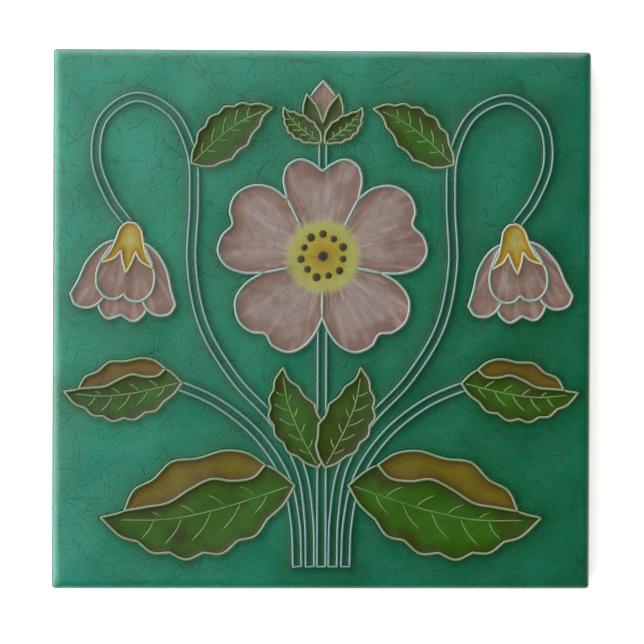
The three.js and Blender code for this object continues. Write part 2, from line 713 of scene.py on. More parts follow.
@dataclass(frozen=True, kw_only=True)
class Finish:
    """A surface: its colour by a node pattern, its gloss, and its grain in millimetres."""

    name: str
    roughness: float
    ior: float = 1.6
    grain_size: float
    grain_detail: float = 2.0
    grain_depth: float

    def colour(self, sheet: Sheet) -> Socket:
        """Draw the colour and return it."""
        raise NotImplementedError

    def relief(self, sheet: Sheet) -> Socket:
        """Draw the grain.

        Args:
            sheet: the material's nodes.

        Returns:
            The surface's normal.
        """
        fine = {"Vector": sheet.place, "Scale": 1 / (self.grain_size * MM), "Detail": self.grain_detail}
        grain = sheet.add("TexNoise", {}, fine)
        return sheet.add("Bump", {}, {"Height": grain, "Strength": 1.0, "Distance": self.grain_depth * MM})

    def material(self) -> bpy.types.Material:
        """Make the material.

        Returns:
            The material, with its patterns on Object coordinates.
        """
        made = bpy.data.materials.new(self.name)
        made.use_nodes = True
        sheet = Sheet(made.node_tree)
        surface = {
            "Base Color": self.colour(sheet), "Normal": self.relief(sheet), "Roughness": self.roughness,
            "IOR": self.ior,
        }
        sheet.feed(made.node_tree.nodes["Principled BSDF"], surface)
        return made


@dataclass(frozen=True, kw_only=True)
class Glaze(Finish):
    """Translucent lead glaze, laid on with a brush and melted to a pool of glass.

    It is darkest where it runs deep against a raised line, which the stops say by the distance in
    millimetres to the nearest line. Its strength varies with the mottle, and it is crazed. Its grain is
    the faint ripple of melted glaze, which is never flat.
    """

    grain_size: float = 3.2
    grain_depth: float = 0.012
    stops: Stops
    clouds: Clouds | None = None
    mottle: Patches
    crack: str
    crack_strength: float = 0.24
    crazing: Crazing = Crazing()

    def pooled(self, sheet: Sheet) -> Socket:
        """Colour the glaze by its depth, under its clouds.

        Args:
            sheet: the material's nodes.

        Returns:
            The colour.
        """
        gap = sheet.add("Attribute", {"attribute_name": "line_gap"}, {}, "Fac")
        colour = graded(sheet, gap, self.stops)
        return self.clouds.over(sheet, colour) if self.clouds else colour

    def tinted(self, sheet: Sheet, colour: Socket) -> Socket:
        """Let the glaze vary over the tile and draw its cracks.

        Args:
            sheet: the material's nodes.
            colour: the glaze's colour.

        Returns:
            The finished colour.
        """
        shade = self.mottle.share(sheet, sheet.place)
        varied = sheet.add("Mix", TINTING, {0: 1.0, MIX_A: colour, MIX_B: shade}, MIX_RESULT)
        shown = {0: self.crazing.lines(sheet), 1: self.crack_strength}
        strength = sheet.add("Math", MULTIPLY, shown)
        crazed = {0: strength, MIX_A: varied, MIX_B: linear(self.crack)}
        return sheet.add("Mix", MIXING, crazed, MIX_RESULT)

    def colour(self, sheet: Sheet) -> Socket:
        """Draw the colour and return it."""
        return self.tinted(sheet, self.pooled(sheet))

    def relief(self, sheet: Sheet) -> Socket:
        """Sink the cracks into the rippled glass.

        Args:
            sheet: the material's nodes.

        Returns:
            The surface's normal.
        """
        sunk = {
            "Normal": super().relief(sheet), "Height": self.crazing.lines(sheet), "Strength": 1.0,
            "Distance": self.crazing.depth * MM,
        }
        return sheet.add("Bump", {"invert": True}, sunk)


@dataclass(frozen=True, kw_only=True)
class GroundGlaze(Glaze):
    """Green glaze that is bluish and light in the open, and dark where it pools and inside the stems.

    Towards one corner it is darker and greener: a painted shade for the light that falls off away from
    the left, over half the tile's width in millimetres, spread by soft clouds of uneven glaze. The tint at
    that corner is what the full painted shade takes from its colour.
    """

    stem_colour: str
    stem_share: float
    shaded_tint: str
    unshaded_tint: str = "#ffffff"
    shade_toward: tuple[float, float, float] = (0.92, -0.38, 0.0)
    drift_half: float = 76.2
    drift_size: float = 19.0
    drift_detail: float = 3.0
    drift_spread: float = 1.2

    def painted_shade_drift(self, sheet: Sheet, colour: Socket) -> Socket:
        """Lay a painted shade across the tile, darker and greener away from the light, in soft clouds.

        Args:
            sheet: the material's nodes.
            colour: the glaze's colour on the lit side, before the painted shade.

        Returns:
            The colour.
        """
        half, spread = self.drift_half * MM, self.drift_spread
        toward = {0: sheet.place, 1: self.shade_toward}
        across = sheet.add("VectorMath", DOT, toward, "Value")
        slope = {
            "Value": across, "From Min": -half, "From Max": half,
            "To Min": -spread / 2, "To Max": 1.0 - spread / 2,
        }
        side = sheet.add("MapRange", {"clamp": False}, slope)
        soft = {"Vector": sheet.place, "Scale": 1 / (self.drift_size * MM), "Detail": self.drift_detail}
        clouds = sheet.add("TexNoise", {}, soft)
        settings = {"operation": "MULTIPLY_ADD", "use_clamp": True}
        # How deep the painted shade lies here: its slope across the tile, spread by clouds of uneven glaze
        depth = sheet.add("Math", settings, {0: clouds, 1: spread, 2: side})
        tints = {0: depth, MIX_A: linear(self.unshaded_tint), MIX_B: linear(self.shaded_tint)}
        tint = sheet.add("Mix", MIXING, tints, MIX_RESULT)
        return sheet.add("Mix", TINTING, {0: 1.0, MIX_A: colour, MIX_B: tint}, MIX_RESULT)

    def colour(self, sheet: Sheet) -> Socket:
        """Darken the glaze between the two lines of each stem, and lay the painted shade over the tile.

        Args:
            sheet: the material's nodes.

        Returns:
            The colour.
        """
        inside = sheet.add("Attribute", {"attribute_name": "stem_core"}, {}, "Fac")
        share = sheet.add("Math", MULTIPLY, {0: inside, 1: self.stem_share})
        pooled = {0: share, MIX_A: self.pooled(sheet), MIX_B: linear(self.stem_colour)}
        return self.tinted(sheet, self.painted_shade_drift(sheet, sheet.add("Mix", MIXING, pooled, MIX_RESULT)))


@dataclass(frozen=True, kw_only=True)
class PetalGlaze(Glaze):
    """Mauve glaze with light brushed streaks from the eye of the flower, and a throat melted into it.

    The throat's stops are distances in millimetres inward from its ragged edge. The sizes of the broad
    streaks and of the hair-fine rays are shares of the turn, in radians, around the eye.
    """

    throat_stops: Stops
    throat_edge: float = 3.0
    ragged: float = 3.0
    streak: str
    streaks: Patches = Patches(size=1 / 9, levels=(0.5, 0.75), shares=(0.0, 0.45), detail=3.0)
    rays: Patches = Patches(size=1 / 26, levels=(0.62, 0.7), shares=(0.0, 0.8), detail=1.0)
    ray_reach: float = 9.0

    def streaked(self, sheet: Sheet, ray: Socket, depth: Socket) -> Socket:
        """Draw the broad streaks of the brush over the petals, and the fine rays close to the throat.

        Args:
            sheet: the material's nodes.
            ray: the bearing from the eye of the flower.
            depth: the distance inward from the throat's edge.

        Returns:
            The colour.
        """
        near = sheet.add("MapRange", {}, {"Value": depth, "From Min": -self.ray_reach, "From Max": 0.0})
        fine = {0: self.rays.share(sheet, ray), 1: near}
        light = {0: self.streaks.share(sheet, ray), 1: sheet.add("Math", MULTIPLY, fine)}
        lightest = sheet.add("Math", MAXIMUM, light)
        petal = {0: lightest, MIX_A: self.pooled(sheet), MIX_B: linear(self.streak)}
        return sheet.add("Mix", MIXING, petal, MIX_RESULT)

    def colour(self, sheet: Sheet) -> Socket:
        """Streak the petals and melt the throat's yellow into them.

        Args:
            sheet: the material's nodes.

        Returns:
            The colour.
        """
        ray = sheet.add("Attribute", {"attribute_name": "petal_ray"}, {}, "Vector")
        depth = sheet.add("Attribute", {"attribute_name": "throat_depth"}, {}, "Fac")
        torn = {0: self.streaks.noise(sheet, ray), 1: self.ragged, 2: depth}
        ragged = sheet.add("Math", MULTIPLY_ADD, torn)
        edge = {"Value": ragged, "From Min": 0.0, "From Max": self.throat_edge}
        throat = {
            0: sheet.add("MapRange", SMOOTHED, edge), MIX_A: self.streaked(sheet, ray, depth),
            MIX_B: graded(sheet, ragged, self.throat_stops),
        }
        return self.tinted(sheet, sheet.add("Mix", MIXING, throat, MIX_RESULT))


@dataclass(frozen=True, kw_only=True)
class LineGlaze(Finish):
    """Glaze over a raised line: it runs off the crest, where the pale slip shows, and stays on the foot.

    Foot and crest lie below and above the two shares of the line's height. Patches of glaze stay on
    the crest too, where at least the bare share of the slip's colour shows. The grain is the slight
    lumpiness of a line trailed by hand.
    """

    roughness: float = 0.16
    grain_size: float = 1.5
    grain_depth: float = 0.04
    crest: str
    foot: str
    foot_share: float = 0.25
    crest_share: float = 0.8
    least_bare: float = 0.8
    patch_size: float = 6 * MM
    patch_levels: Point = (0.35, 0.6)

    def colour(self, sheet: Sheet) -> Socket:
        """Colour the line by its height, a little unevenly along it.

        Args:
            sheet: the material's nodes.

        Returns:
            The colour.
        """
        height = sheet.add("Attribute", {"attribute_name": "crest"}, {}, "Fac")
        rise = {"Value": height, "From Min": self.foot_share, "From Max": self.crest_share}
        patches = Patches(size=self.patch_size, levels=self.patch_levels, shares=(self.least_bare, 1.0))
        bared = {0: sheet.add("MapRange", SMOOTHED, rise), 1: patches.share(sheet, sheet.place)}
        bare = sheet.add("Math", MULTIPLY, bared)
        slip = {0: bare, MIX_A: linear(self.foot), MIX_B: linear(self.crest)}
        return sheet.add("Mix", MIXING, slip, MIX_RESULT)


@dataclass(frozen=True, kw_only=True)
class Biscuit(Finish):
    """Dust-pressed earthenware, fired once: matt, with grog specks and faint clouds.

    Sizes are in millimetres. A speck fades out between two distances from its middle, as shares of
    the spacing.
    """

    ior: float = 1.5
    grain_size: float = 0.7
    grain_detail: float = 3.0
    grain_depth: float = 0.12
    clay: str
    clouds: Clouds
    speck: str
    speck_spacing: float = 1.6
    speck_fade: Point = (0.1, 0.22)
    speck_share: float = 0.45

    def colour(self, sheet: Sheet) -> Socket:
        """Cloud the clay and scatter its specks.

        Args:
            sheet: the material's nodes.

        Returns:
            The colour.
        """
        clay = sheet.add("RGB", {}, {})
        clay.default_value = linear(self.clay)
        scatter = {"Vector": sheet.place, "Scale": 1 / (self.speck_spacing * MM)}
        fade = {
            "Value": sheet.add("TexVoronoi", {}, scatter, "Distance"), "From Min": self.speck_fade[0],
            "From Max": self.speck_fade[1], "To Min": self.speck_share, "To Max": 0.0,
        }
        specks = {
            0: sheet.add("MapRange", SMOOTHED, fade), MIX_A: self.clouds.over(sheet, clay),
            MIX_B: linear(self.speck),
        }
        return sheet.add("Mix", MIXING, specks, MIX_RESULT)


# Lead glaze with copper oxide, poured over the whole face and fired to clear glass. The eye sees deep
# blue-green under a wet gloss, lightest in the open and darker beside the lines. Towards one corner it
# is darker still, a painted shade for the light that falls off away from the left
GROUND = GroundGlaze(
    name="copper_green_lead_glaze",
    roughness=0.13,
    crack="#082a1e",
    crack_strength=0.46,
    mottle=Patches(size=14 * MM, levels=(0.3, 0.7), shares=(0.88, 1.1), detail=4.0),
    stops=((0.0, "#0d4332"), (0.5, "#0c4a38"), (1.0, "#0b5b42"), (3.0, "#106c52"), (8.0, "#17745f")),
    stem_colour="#12503a",
    stem_share=0.5,
    # The tint of the painted shade, full at the corner away from the light
    shaded_tint="#bcbc9e",
)
# Lead glaze with manganese and some tin, brushed on outward from the eye. The eye sees a soft, greyish
# mauve, brown where it pools, with milky streaks where the brush ran dry
PETALS = PetalGlaze(
    name="manganese_mauve_lead_glaze",
    roughness=0.15,
    crack="#4a3a32",
    mottle=Patches(size=14 * MM, levels=(0.3, 0.7), shares=(0.88, 1.1), detail=4.0),
    stops=((0.0, "#544136"), (0.8, "#655043"), (2.0, "#6f594f"), (5.0, "#7c6e67")),
    clouds=Clouds(colour="#654b40", size=6 * MM, shares=(0.0, 0.7)),
    streak="#a0958e",
    throat_stops=((0.0, "#898c6c"), (3.0, "#898a4a"), (7.0, "#857922"), (12.0, "#7a5711")),
)
# Lead glaze with chrome and copper over a first coat with iron. The eye sees clear leaf green that turns
# to olive in clouds and to brown in a thin rim, as the coat below comes through
LEAVES = Glaze(
    name="chrome_green_lead_glaze",
    roughness=0.13,
    crack="#0e1a06",
    mottle=Patches(size=9 * MM, levels=(0.3, 0.7), shares=(0.8, 1.22), detail=4.0),
    stops=((0.0, "#282206"), (0.5, "#272a06"), (1.2, "#253d04"), (4.0, "#264e04")),
    clouds=Clouds(colour="#2b2a06", size=12 * MM, levels=(0.49, 0.68), shares=(0.0, 0.75)),
    crazing=Crazing(depth=0.007),
)
# Lead glaze with iron. The eye sees golden ochre where it lies thin, and dark amber along the lines
FOLDS = Glaze(
    name="iron_ochre_lead_glaze",
    roughness=0.14,
    crack="#2e1d08",
    mottle=Patches(size=6 * MM, levels=(0.3, 0.7), shares=(0.8, 1.2), detail=4.0),
    stops=((0.0, "#382608"), (0.9, "#473609"), (1.8, "#52440a"), (3.3, "#574e0a")),
    crazing=Crazing(depth=0.007),
)
# Lead glaze with antimony, made opaque with tin. The eye sees butter yellow with amber edges
CALYCES = Glaze(
    name="antimony_yellow_lead_glaze",
    roughness=0.14,
    crack="#5a3f0c",
    mottle=Patches(size=5 * MM, levels=(0.3, 0.7), shares=(0.82, 1.12), detail=4.0),
    stops=((0.0, "#6f4a10"), (0.8, "#866513"), (1.6, "#8f7e2a"), (3.0, "#928c50")),
)
# White slip trailed from a nozzle, under the glaze that runs off it. The eye sees pale threads with the
# colour of their neighbours on the flanks: bluish by the ground, grey by the petals, green by the leaves
STEM_LINES = LineGlaze(name="pale_blue_slip_line", crest="#577e78", foot="#2c5a50")
PETAL_LINES = LineGlaze(name="white_slip_line", crest="#768f88", foot="#696c66")
LEAF_LINES = LineGlaze(name="pale_green_slip_line", crest="#637d57", foot="#44532f")
CALYX_LINES = LineGlaze(name="cream_slip_line", crest="#999d7e", foot="#66592f")
# Veins are trailed thinner, so the green covers most of them. The eye sees soft light hairs in the leaf
VEIN_LINES = LineGlaze(
    name="green_slip_vein", crest="#4c7034", foot="#274a14", foot_share=0.2, least_bare=0.3
)
# Drops of iron and manganese glaze. The eye sees near-black olive spots with a soft, lighter rim
DOTS = LineGlaze(name="iron_brown_spot", crest="#26250a", foot="#6a6420", foot_share=0.05)
# Buff earthenware, pressed from dust and fired once. The eye sees dry, warm clay with dark specks
CLAY = Biscuit(
    name="buff_earthenware_biscuit",
    roughness=0.85,
    clay="#b6a487",
    clouds=Clouds(colour="#a58a6f", size=22 * MM, levels=(0.38, 0.72), shares=(0.0, 0.6), detail=5.0),
    speck="#7b6349",
)


def put_in_scene(name: str, data: bpy.types.ID) -> bpy.types.Object:
    """Put new data into the scene.

    Args:
        name: the object's name.
        data: its mesh, curve or camera.

    Returns:
        The object.
    """
    made = bpy.data.objects.new(name, data)
    bpy.context.scene.collection.objects.link(made)
    return made


def as_mesh(shape: bmesh.types.BMesh, name: str) -> Mesh:
    """Turn a finished shape into a mesh.

    Args:
        shape: the shape, which is freed.
        name: the mesh's name.

    Returns:
        The mesh.
    """
    mesh = bpy.data.meshes.new(name)
    shape.to_mesh(mesh)
    shape.free()
    return mesh


def grown_rim(
    shape: bmesh.types.BMesh, rim: list[bmesh.types.BMEdge]
) -> tuple[list[bmesh.types.BMVert], list[bmesh.types.BMEdge]]:
    """Grow one more ring out of an open rim.

    Args:
        shape: the shape.
        rim: its open edges.

    Returns:
        The vertices and the edges of the new rim.
    """
    grown = bmesh.ops.extrude_edge_only(shape, edges=rim)["geom"]
    verts = [item for item in grown if isinstance(item, bmesh.types.BMVert)]
    return verts, [item for item in grown if isinstance(item, bmesh.types.BMEdge) and item.is_boundary]


def add_piece(name: str, mesh: Mesh, finish: Finish) -> Piece:
    """Show a finished mesh as a piece of the tile.

    Args:
        name: the piece's name.
        mesh: its mesh, in its place.
        finish: what it is covered with.

    Returns:
        The piece, riding on the tile.
    """
    mesh.materials.clear()
    mesh.materials.append(finish.material())
    mesh.shade_smooth()
    piece = put_in_scene(name, mesh)
    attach(piece, BODY)
    return piece


def write_attribute(mesh: Mesh, name: str, values: Array) -> None:
    """Keep one value or vector for each vertex, for the materials to read.

    Args:
        mesh: the mesh that takes the values.
        name: the attribute's name.
        values: a row of numbers, or a table with three columns.
    """
    kind, member = ("FLOAT", "value") if values.ndim == 1 else ("FLOAT_VECTOR", "vector")
    held = mesh.attributes.new(name, kind, "POINT")
    held.data.foreach_set(member, np.ascontiguousarray(values, np.float32).ravel())


def places_of(mesh: Mesh) -> Array:
    """Return the places of a mesh's vertices on the face, in millimetres."""
    flat = np.empty(len(mesh.vertices) * 3, np.float32)
    mesh.vertices.foreach_get("co", flat)
    return flat.reshape(-1, 3)[:, :2].astype(float) / MM


@dataclass(frozen=True)
class Relief:
    """How the melted glaze stands on the face, in millimetres: it climbs at each line and is never flat.

    Each wave holds its radians for a millimetre in x and for one in y, and its shift.
    """

    climb: float = 0.08
    climb_width: float = 0.9
    wave: float = 0.015
    waves: tuple[tuple[float, float, float], ...] = (
        (0.21, 0.09, 0.4), (-0.12, 0.24, 2.1), (0.31, -0.17, 4.0), (0.08, 0.33, 5.2),
    )

    def swell(self, places: Array) -> Array:
        """Return how far the glaze swells over or under its mean level at each place."""
        return self.wave * sum(np.sin(places @ (fx, fy) + shift) for fx, fy, shift in self.waves)

    def climbing(self, gaps: Array) -> Array:
        """Return how far the glaze climbs at each distance from the nearest raised line."""
        return self.climb * np.exp(-gaps / self.climb_width)


@dataclass
class Body:
    """The pressed body, carried over from the frame, and the sizes that the glaze follows."""

    easing_depth: float = 1.9
    easing_width: float = 2.1
    corner: float = 1.1
    face_corner: float = 2.4
    band_height: float = 3.0
    draft_inset: float = 0.5
    half: float = field(init=False)
    thickness: float = field(init=False)

    def __post_init__(self) -> None:
        """Take the tile's size from the frame."""
        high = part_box("tile")[1] / MM
        self.half = high.x
        self.thickness = high.z

    def dress(self) -> None:
        """Give the clay its finish, where the glaze leaves it bare."""
        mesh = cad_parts["tile"].data
        mesh.materials.clear()
        mesh.materials.append(CLAY.material())


@dataclass
class GlazeCoat:
    """The green glaze over the face, the eased edges and the upper part of the sides.

    The coat is one closed skin. It ends in a wavering rim with a few runs, and closes inside the body.
    Sizes are in millimetres. A rim wave holds its count around the tile, its depth and its shift.
    """

    body: Body
    picture: Picture
    relief: Relief
    cells: int = 250
    skin: float = 0.16
    droop: float = 0.08
    droop_width: float = 4.0
    easing_steps: int = 9
    side_steps: int = 5
    rim_height: float = 5.3
    rim_waves: tuple[tuple[int, float, float], ...] = ((7, 0.22, 0.3), (16, 0.16, 1.9), (37, 0.09, 4.2))
    run_count: int = 20
    run_length: tuple[float, float] = (0.4, 1.7)
    run_width: tuple[float, float] = (1.8, 4.2)
    run_roundness: int = 4
    run_bulge: float = 0.1
    rim_turn: float = 0.5
    floor_height: float = 6.2
    floor_inset: float = 1.6
    seed: int = 7
    pool_sink: float = 0.04

    @property
    def level(self) -> float:
        """The mean height of the glazed face."""
        return self.body.thickness + self.skin

    def rim(self, along: Array) -> tuple[Array, Array]:
        """Work out where the glaze ends on the sides.

        Args:
            along: places along the tile's circumference, from 0 to 1.

        Returns:
            The rim's height there, and how far a run stands out.
        """
        random = np.random.default_rng(self.seed)
        around = SQUARE_AROUND * self.body.half
        height = np.full_like(along, self.rim_height)
        for count, depth, shift in self.rim_waves:
            height += depth * np.sin(2 * math.pi * count * along + shift)
        runs = np.zeros_like(along)
        for _ in range(self.run_count):
            place = random.uniform()
            length = random.uniform(*self.run_length)
            width = random.uniform(*self.run_width)
            away = np.abs((along - place + 0.5) % 1 - 0.5) * around
            run = np.exp(-((away / width) ** self.run_roundness))
            height -= length * run
            runs = np.maximum(runs, run)
        return height, self.run_bulge * runs

    def rounded(self, places: Array, half: Array, radius: Array) -> Array:
        """Fit places on a unit square to a square of a given size with rounded corners.

        Args:
            places: places on the square from -1 to 1.
            half: half the side that each place is fitted to.
            radius: the corners' radius there.

        Returns:
            The fitted places.
        """
        signs, sizes = np.sign(places), np.abs(places) * half[:, None]
        beyond = np.maximum(sizes - (half - radius)[:, None], 0)
        length = np.maximum(np.hypot(*beyond.T), SMALLEST_STEP)
        pull = np.where((beyond > 0).all(1), beyond.max(1) / length, 1.0)[:, None]
        return signs * (sizes - beyond + beyond * pull)

    def mould(self, places: Array, rings: Array) -> Array:
        """Lay the flat grid and its rings over the tile.

        Args:
            places: each vertex's place on the unit square.
            rings: the ring it belongs to, 0 on the face and rising down the sides.

        Returns:
            Each vertex's place in millimetres.
        """
        body = self.body
        x, y = places.T
        sides = [x >= 1 - SMALLEST_STEP, y >= 1 - SMALLEST_STEP, x <= SMALLEST_STEP - 1]
        # The way runs up the right side, along the top, down the left side and back along the bottom
        along = np.select(sides, [1 + y, 3 - x, 5 - y], 7 + x) / SQUARE_AROUND
        rim, bulge = self.rim(along)
        turn = np.clip(rings / self.easing_steps, 0, 1) * math.pi / 2
        face_half = body.half - body.easing_width
        half = face_half + (body.easing_width + self.skin) * np.sin(turn)
        radius = body.face_corner + (body.corner - body.face_corner) * np.sin(turn)
        height = body.thickness - body.easing_depth + (body.easing_depth + self.skin) * np.cos(turn)
        down = np.clip((rings - self.easing_steps) / self.side_steps, 0, 1)
        height += down * (rim - height)
        band_foot = body.thickness - body.easing_depth - body.band_height
        draft = body.draft_inset / band_foot
        # A run stands out more the further down it hangs, and below the band the side leans in
        half += bulge * down * (2 - down) - draft * np.maximum(band_foot - height, 0)
        past = rings - self.easing_steps - self.side_steps
        half = np.where(past == TURNED_RING, half - self.rim_turn, half)
        half = np.where(past == FLOOR_RING, body.half - self.floor_inset, half)
        height = np.where(past == FLOOR_RING, self.floor_height, height)
        flat = self.rounded(places, half, radius)
        inward = np.maximum(face_half - np.abs(flat).max(axis=1), 0)
        height -= self.droop * np.exp(-inward / self.droop_width) * np.cos(turn)
        face = rings == 0
        pooled = [colour not in (Colour.STEM, None) for colour in self.picture.colours(flat[face])]
        climbing = self.relief.climbing(self.picture.gaps(flat[face]))
        height[face] += self.relief.swell(flat[face]) + np.where(pooled, -self.pool_sink, climbing)
        return np.column_stack([flat, height])

    def build(self) -> Piece:
        """Make the coat.

        Returns:
            The piece.
        """
        shape = bmesh.new()
        bmesh.ops.create_grid(shape, x_segments=self.cells, y_segments=self.cells, size=1.0)
        ring = shape.verts.layers.int.new("ring")
        rim = [edge for edge in shape.edges if edge.is_boundary]
        for number in range(1, self.easing_steps + self.side_steps + FLOOR_RING + 1):
            verts, rim = grown_rim(shape, rim)
            for vert in verts:
                vert[ring] = number
        bmesh.ops.edgeloop_fill(shape, edges=rim)
        places = np.array([vert.co[:2] for vert in shape.verts])
        rings = np.array([vert[ring] for vert in shape.verts], float)
        for vert, place in zip(shape.verts, self.mould(places, rings)):
            vert.co = Vector(place) * MM
        bmesh.ops.recalc_face_normals(shape, faces=shape.faces)
        mesh = as_mesh(shape, "glaze_coat")
        mesh.attributes.remove(mesh.attributes["ring"])
        self.measure(mesh)
        return add_piece("glaze_coat", mesh, GROUND)

    def measure(self, mesh: Mesh) -> None:
        """Keep each vertex's distance to the lines, and whether it lies inside a stem.

        Args:
            mesh: the coat's mesh.
        """
        places = places_of(mesh)
        stems = [colour is Colour.STEM for colour in self.picture.colours(places)]
        write_attribute(mesh, "line_gap", self.picture.gaps(places))
        write_attribute(mesh, "stem_core", np.array(stems, float))


@dataclass
class GlazePools:
    """The pools of one coloured glaze, each lying inside its raised lines."""

    picture: Picture
    relief: Relief
    level: float
    colour: Colour
    name: str
    slot: str
    finish: Glaze
    spacing: float = 0.32
    snap: float = 0.64
    depth: float = 0.35
    lift: float = 0.03
    petal_length: float = 25.0
    ray_drift: float = 0.25

    def surface(self, places: Array) -> Array:
        """Return the height of the pools' tops at each place."""
        climbing = self.relief.climbing(self.picture.gaps(places))
        return self.level + self.lift + self.relief.swell(places) + climbing

    def pool(self, number: int) -> bmesh.types.BMesh:
        """Cut one pool out of a fine grid.

        Args:
            number: the part that the pool fills.

        Returns:
            The pool as a closed pad, flat on top.
        """
        outline = self.picture.parts[number].outline
        low, high = outline.min(0) - self.spacing, outline.max(0) + self.spacing
        span = high - low
        counts = np.ceil(span / self.spacing).astype(int)
        centre = Vector((*((low + high) / 2), 0))
        shape = bmesh.new()
        matrix = Matrix.LocRotScale(centre, None, Vector((*span, 1)))
        columns, rows = map(int, counts)
        bmesh.ops.create_grid(shape, x_segments=columns, y_segments=rows, size=0.5, matrix=matrix)
        faces = list(shape.faces)
        owners = self.picture.owners(np.array([face.calc_center_median()[:2] for face in faces]))
        outside = [face for face, owner in zip(faces, owners) if owner != number]
        bmesh.ops.delete(shape, geom=outside, context="FACES")
        for vert in shape.verts:
            if vert.is_boundary:
                place, distance = self.picture.nearest(vert.co[:2])
                if distance < self.snap:
                    vert.co.xy = place.xy
        rim = [edge for edge in shape.edges if edge.is_boundary]
        verts, lower = grown_rim(shape, rim)
        for vert in verts:
            vert.co.z = -self.depth
        bmesh.ops.holes_fill(shape, edges=lower, sides=0)
        return shape

    def build(self) -> Piece:
        """Make all the pools of this glaze as one piece.

        Returns:
            The piece.
        """
        whole = bmesh.new()
        whole.verts.layers.int.new("part")
        for number, part in enumerate(self.picture.parts):
            if part.colour is not self.colour:
                continue
            shape = self.pool(number)
            held = shape.verts.layers.int.new("part")
            for vert in shape.verts:
                vert[held] = number
            flat = as_mesh(shape, "pool")
            whole.from_mesh(flat)
            bpy.data.meshes.remove(flat)
        owner = whole.verts.layers.int["part"]
        numbers = np.array([vert[owner] for vert in whole.verts])
        places = np.array([vert.co[:2] for vert in whole.verts])
        gaps = self.picture.gaps(places)
        for vert, height in zip(whole.verts, self.surface(places)):
            vert.co = Vector((vert.co.x, vert.co.y, vert.co.z + height)) * MM
        bmesh.ops.recalc_face_normals(whole, faces=whole.faces)
        mesh = as_mesh(whole, self.name)
        mesh.attributes.remove(mesh.attributes["part"])
        write_attribute(mesh, "line_gap", gaps)
        if self.colour is Colour.PETAL:
            self.measure_rays(mesh, numbers, places)
        return add_piece(self.name, mesh, self.finish)

    def measure_rays(self, mesh: Mesh, numbers: Array, places: Array) -> None:
        """Keep each vertex's bearing from the eye of its flower, and its depth in the throat.

        Args:
            mesh: the petals' mesh.
            numbers: the part that each vertex belongs to.
            places: the vertices' places on the face.
        """
        eyes = np.array([part.eye[0] for part in self.picture.parts])[numbers]
        throats = np.array([part.throat for part in self.picture.parts])[numbers]
        away = places - eyes
        distance = np.maximum(np.linalg.norm(away, axis=1), SMALLEST_STEP)
        ray = np.column_stack([away / distance[:, None], self.ray_drift * distance / self.petal_length])
        write_attribute(mesh, "petal_ray", ray)
        inward = np.where(throats > 0, throats - distance, -self.petal_length)
        write_attribute(mesh, "throat_depth", inward)


@dataclass
class RaisedLines:
    """The raised lines of one kind, trailed over the face as half-round threads of slip."""

    picture: Picture
    level: float
    kind: Line
    name: str
    finish: LineGlaze
    slot: str = "outline_glaze"
    half_width: float = 0.37
    height: float = 0.26
    end_taper: float = 0.6
    taper_length: int = 3
    sides: int = 3

    def build(self) -> Piece:
        """Sweep each visible stretch of line and make the sweeps one piece.

        Returns:
            The piece.
        """
        curve = bpy.data.curves.new(self.name, "CURVE")
        curve.dimensions = "3D"
        curve.bevel_depth = self.half_width
        curve.bevel_resolution = self.sides
        curve.use_fill_caps = True
        for run in self.picture.visible_runs(self.kind):
            closed = np.allclose(run[0], run[-1])
            run = run[:-1] if closed else run
            thread = curve.splines.new("POLY")
            thread.points.add(len(run) - 1)
            places = np.column_stack([run, np.zeros(len(run)), np.ones(len(run))])
            thread.points.foreach_set("co", places.ravel())
            thread.use_cyclic_u = bool(closed)
            if not closed:
                from_end = np.minimum(np.arange(len(run)), np.arange(len(run))[::-1])
                taper = self.end_taper + (1 - self.end_taper) * np.clip(from_end / self.taper_length, 0, 1)
                thread.points.foreach_set("radius", taper)
        holder = put_in_scene(self.name, curve)
        graph = bpy.context.evaluated_depsgraph_get()
        mesh = bpy.data.meshes.new_from_object(holder.evaluated_get(graph), depsgraph=graph)
        bpy.data.objects.remove(holder)
        bpy.data.curves.remove(curve)
        mesh.name = self.name
        write_attribute(mesh, "crest", np.array([vert.co.z for vert in mesh.vertices]) / self.half_width)
        flatten = Matrix.Diagonal((1.0, 1.0, self.height / self.half_width, 1.0))
        mesh.transform(Matrix.Scale(MM, 4) @ Matrix.Translation((0, 0, self.level)) @ flatten)
        return add_piece(self.name, mesh, self.finish)


@dataclass
class StamenDots:
    """The dark spots around the eye of the open rose, each a low lens of glaze."""

    surface: Callable[[Array], Array]
    eye: Point
    count: int = 11
    ring: float = 6.0
    wobble: float = 0.25
    radii: tuple[float, ...] = (1.2, 1.05, 1.3, 1.1)
    height: float = 0.05
    eye_radius: float = 1.6
    segments: int = 24

    def build(self) -> Piece:
        """Make the ring of dots and the one at its middle as one piece.

        Returns:
            The piece.
        """
        turns = 2 * math.pi * np.arange(self.count) / self.count
        reach = self.ring + self.wobble * (-1.0) ** np.arange(self.count)
        ring = np.column_stack([reach * np.sin(turns), reach * np.cos(turns)])
        places = np.vstack([(0, 0), ring]) + self.eye
        radii = [self.eye_radius, *(self.radii[number % len(self.radii)] for number in range(self.count))]
        shape = bmesh.new()
        crest = shape.verts.layers.float.new("crest")
        for (x, y), radius, floor in zip(places, radii, self.surface(places)):
            size = Vector((radius, radius, self.height)) * MM
            matrix = Matrix.LocRotScale(Vector((x, y, floor)) * MM, None, size)
            made = bmesh.ops.create_uvsphere(
                shape, u_segments=self.segments, v_segments=self.segments // 2, radius=1.0, matrix=matrix
            )
            for vert in made["verts"]:
                vert[crest] = (vert.co.z / MM - floor) / self.height
        return add_piece("stamen_dots", as_mesh(shape, "stamen_dots"), DOTS)


